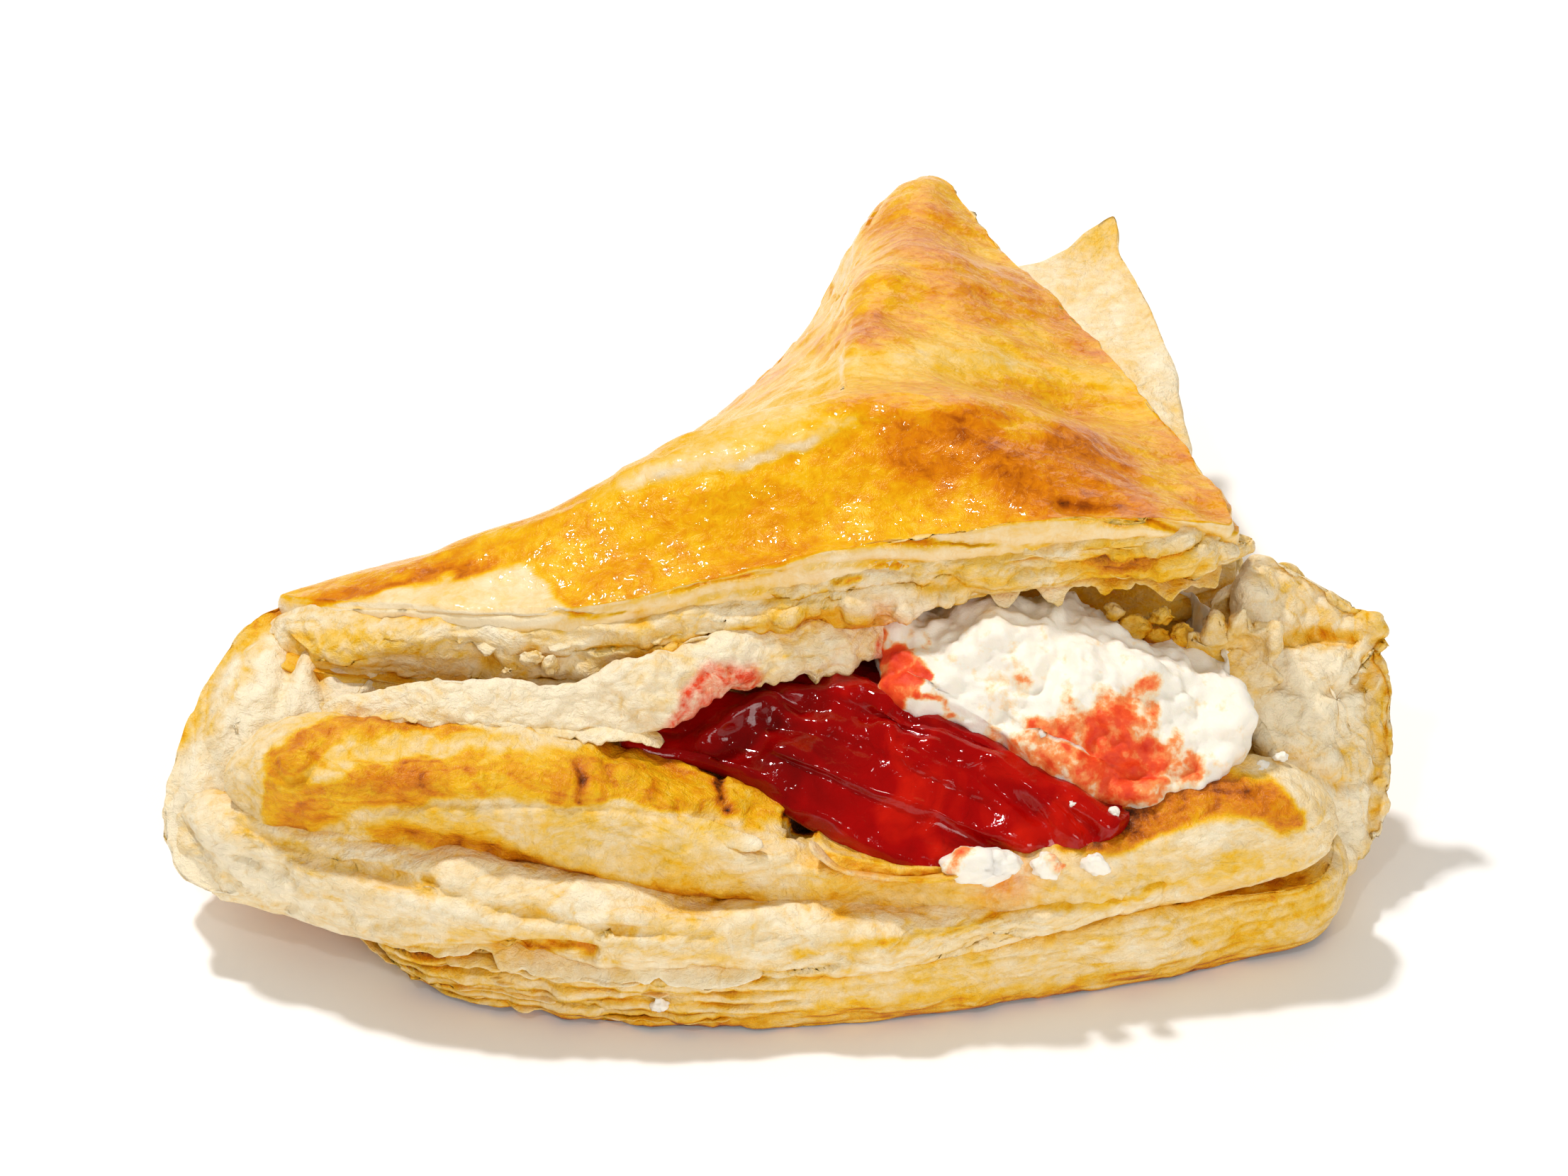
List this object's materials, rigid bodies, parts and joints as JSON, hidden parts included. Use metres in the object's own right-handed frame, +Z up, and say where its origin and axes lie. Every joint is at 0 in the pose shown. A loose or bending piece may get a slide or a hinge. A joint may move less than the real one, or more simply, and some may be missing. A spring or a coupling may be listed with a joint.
{
  "type": "turnover pastry",
  "caption": "Folded triangle of flaky baked dough that gapes along its front edge, with glossy red jam and crumbly soft cheese showing inside.",
  "frame": {"origin": "on the table under the middle of the pastry: centre of the bounding box in X and Y, table level in Z", "axes": "+Z up; +Y from the gaping front edge to the pointed apex; +X to the right of someone who looks at the front edge"},
  "size_m": [0.1278, 0.1166, 0.0471],
  "materials": {
    "baked_dough": "baked flaky dough, glazed golden on top",
    "red_jam": "wet, glossy, translucent",
    "white_cheese": "moist, crumbly, matt"
  },
  "bodies": {
    "root": {"pastry": "baked_dough", "fruit_jam": "red_jam", "soft_cheese": "white_cheese"}
  },
  "joints": []
}
